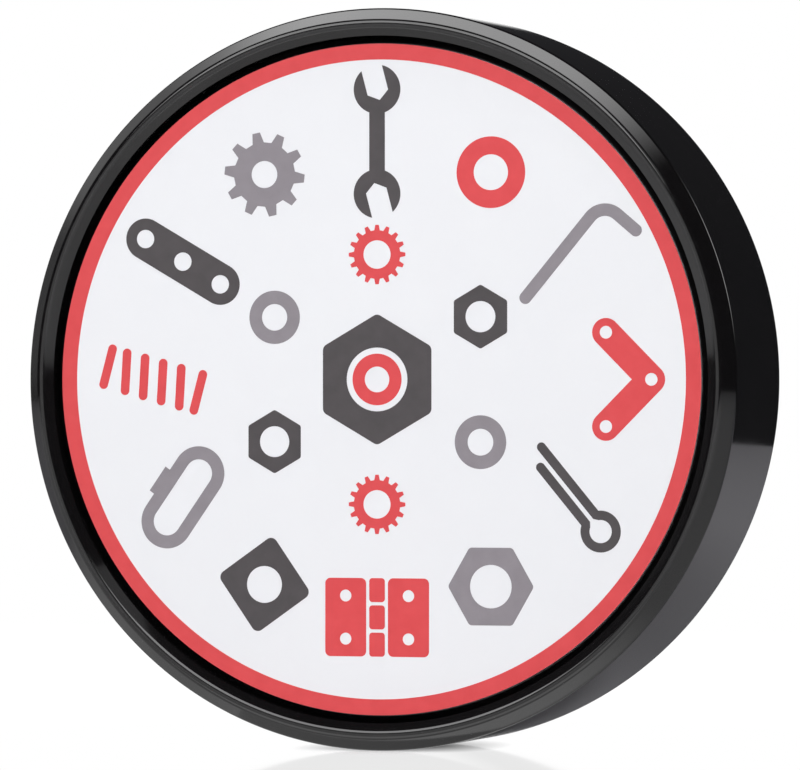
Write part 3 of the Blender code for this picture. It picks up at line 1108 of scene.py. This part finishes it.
def build_floor():
    """Pale, faintly glossy table top that ends behind the holder.

    The camera sees it white beyond the contact; glossy rays see it glow in front, a painted reflection.
    """
    shape = bmesh.new()
    corners = [
        (-FLOOR_SIDE, FLOOR_FRONT, 0),
        (FLOOR_SIDE, FLOOR_FRONT, 0),
        (FLOOR_SIDE, FLOOR_BACK, 0),
        (-FLOOR_SIDE, FLOOR_BACK, 0),
    ]
    shape.faces.new([shape.verts.new(corner) for corner in corners])
    mesh = bpy.data.meshes.new("floor")
    shape.to_mesh(mesh)
    shape.free()
    floor = add_piece("floor", mesh)
    finish = Finish("pale_floor", Roughness=1.0, Specular_IOR_Level=0.0)
    depth = finish.add("ShaderNodeSeparateXYZ", [("Vector", finish.place)]).outputs["Y"]
    shade = finish.spread(depth, 0.0, 1.0, SHADE_START, SHADE_FULL)
    # the floor darkens behind the holder: a painted shadow
    finish.feed(Base_Color=finish.blend(shade, FLOOR_TONE, FLOOR_PAINTED_SHADOW))
    path = finish.add("ShaderNodeLightPath").outputs
    outward = finish.spread(finish.reach(GLOW_ACROSS), 0.0, 1.0, GLOW_START, GLOW_FULL)
    seen = finish.multiply(outward, path["Is Camera Ray"])
    near = finish.spread(finish.reach(), 1.0, 0.0, GLOSS_FULL, GLOSS_END)
    ahead = finish.spread(depth, 1.0, 0.0, SHADE_START, SHADE_FULL)
    # painted reflection: the floor glows for glossy rays near the holder's front
    painted_reflection = finish.multiply(finish.multiply(near, ahead), path["Is Glossy Ray"])
    glow = finish.add("ShaderNodeEmission", Strength=FLOOR_GLOW).outputs["Emission"]
    lit = finish.mix_shaders(finish.plus(seen, painted_reflection), finish.shader.outputs["BSDF"], glow)
    gloss = finish.add("ShaderNodeBsdfGlossy", Roughness=FLOOR_POLISH).outputs["BSDF"]
    share = finish.spread(near, 0.0, FLOOR_GLOSS, 0.0, 1.0)
    surface = finish.mix_shaders(share, lit, gloss)
    finish.tree.links.new(surface, finish.tree.nodes["Material Output"].inputs["Surface"])
    floor.data.materials.append(finish.material)


def build_world():
    """White to the camera; elsewhere dark, with a white card behind the holder."""
    world = bpy.data.worlds.new("studio")
    bpy.context.scene.world = world
    world.use_nodes = True
    nodes = Nodes(world.node_tree)
    nodes.tree.nodes.clear()
    seen = nodes.add("ShaderNodeLightPath").outputs["Is Camera Ray"]
    direction = nodes.add("ShaderNodeTexCoord").outputs["Generated"]
    behind = (-math.sin(CAMERA_AZIMUTH), math.cos(CAMERA_AZIMUTH), 0)
    facing = nodes.vectors("DOT_PRODUCT", direction, behind)["Value"]
    upward = nodes.add("ShaderNodeSeparateXYZ", [("Vector", direction)]).outputs["Z"]
    width = nodes.spread(facing, 0.0, 1.0, math.cos(CARD_SPREAD + CARD_EDGE), math.cos(CARD_SPREAD))
    height = nodes.spread(upward, 0.0, 1.0, math.sin(CARD_TOP + CARD_EDGE), math.sin(CARD_TOP))
    white = nodes.calculate("MAXIMUM", nodes.multiply(width, height), seen)
    colour = nodes.blend(white, SURROUND, BACKGROUND)
    background = nodes.add("ShaderNodeBackground", [("Color", colour)]).outputs["Background"]
    nodes.add("ShaderNodeOutputWorld", [("Surface", background)])


def build_lights():
    """Strips overhead, a softbox and a card in front, cards at the left, a wash in front and a rear light."""
    softbox(
        "top_strip", OVERHEAD, distance=0.87, width=1.7, height=0.30, radiance=1.6,
        roll=TOP_ROLL, aim=(0.0, -0.15, 0.0), fade=0.3,
    )
    softbox(
        "top_core", OVERHEAD, distance=0.86, width=2.0, height=0.22, radiance=4.0,
        roll=TOP_ROLL, aim=(-0.12, -0.10, 0.0), fade=0.35,
    )
    softbox(
        "front_softbox", (-0.20, -0.78, 0.585), distance=0.9, width=0.95, height=0.46, radiance=4.25,
    )
    softbox(
        "front_card", (-0.305, -0.952, 0.02), distance=0.9, width=1.0, height=0.42, radiance=0.85,
        fade=0.25,
    )
    softbox(
        "left_upper_card", (-0.84, 0.08, 0.53), distance=0.8, width=0.5, height=0.5, radiance=0.9,
        fade=0.35,
    )
    softbox(
        "left_card", (-1.0, 0.25, 0.20), distance=0.8, width=0.75, height=0.5, radiance=0.28,
        fade=0.3,
    )
    softbox(
        "front_wash", OVERHEAD, distance=0.30, width=0.6, height=0.3, radiance=0.55,
        aim=(-0.05, -0.40, 0.0),
    )
    softbox(
        "rear_softbox", (0.70, 0.62, 0.34), distance=0.9, width=0.6, height=0.5, radiance=3.2,
        fade=0.4,
    )


def build_camera():
    """Level camera that frames the holder as the photograph does, with plain tones."""
    camera = bpy.data.cameras.new("camera")
    camera.lens = CAMERA_LENS
    camera.sensor_width = CAMERA_SENSOR
    camera.clip_start = CLIP_START
    camera.clip_end = CLIP_END
    view = bpy.data.objects.new("camera", camera)
    bpy.context.scene.collection.objects.link(view)
    back = Vector((math.sin(CAMERA_AZIMUTH), -math.cos(CAMERA_AZIMUTH), 0))
    facing = back.to_track_quat("Z", "Y")
    step = facing @ Vector((-CAMERA_LEFT, -CAMERA_DOWN, 0))
    view.location = Vector((0, 0, centre_height)) + back * CAMERA_DISTANCE + step
    view.rotation_euler = facing.to_euler()
    bpy.context.scene.camera = view
    bpy.context.scene.view_settings.view_transform = "Standard"


build_camera()
build_floor()
build_world()
build_lights()
build_case()
build_label()
build_print()
build_cover()
build_pad()
build_screws()
build_magnets()
build_tray()
build_yoke()
build_foam()
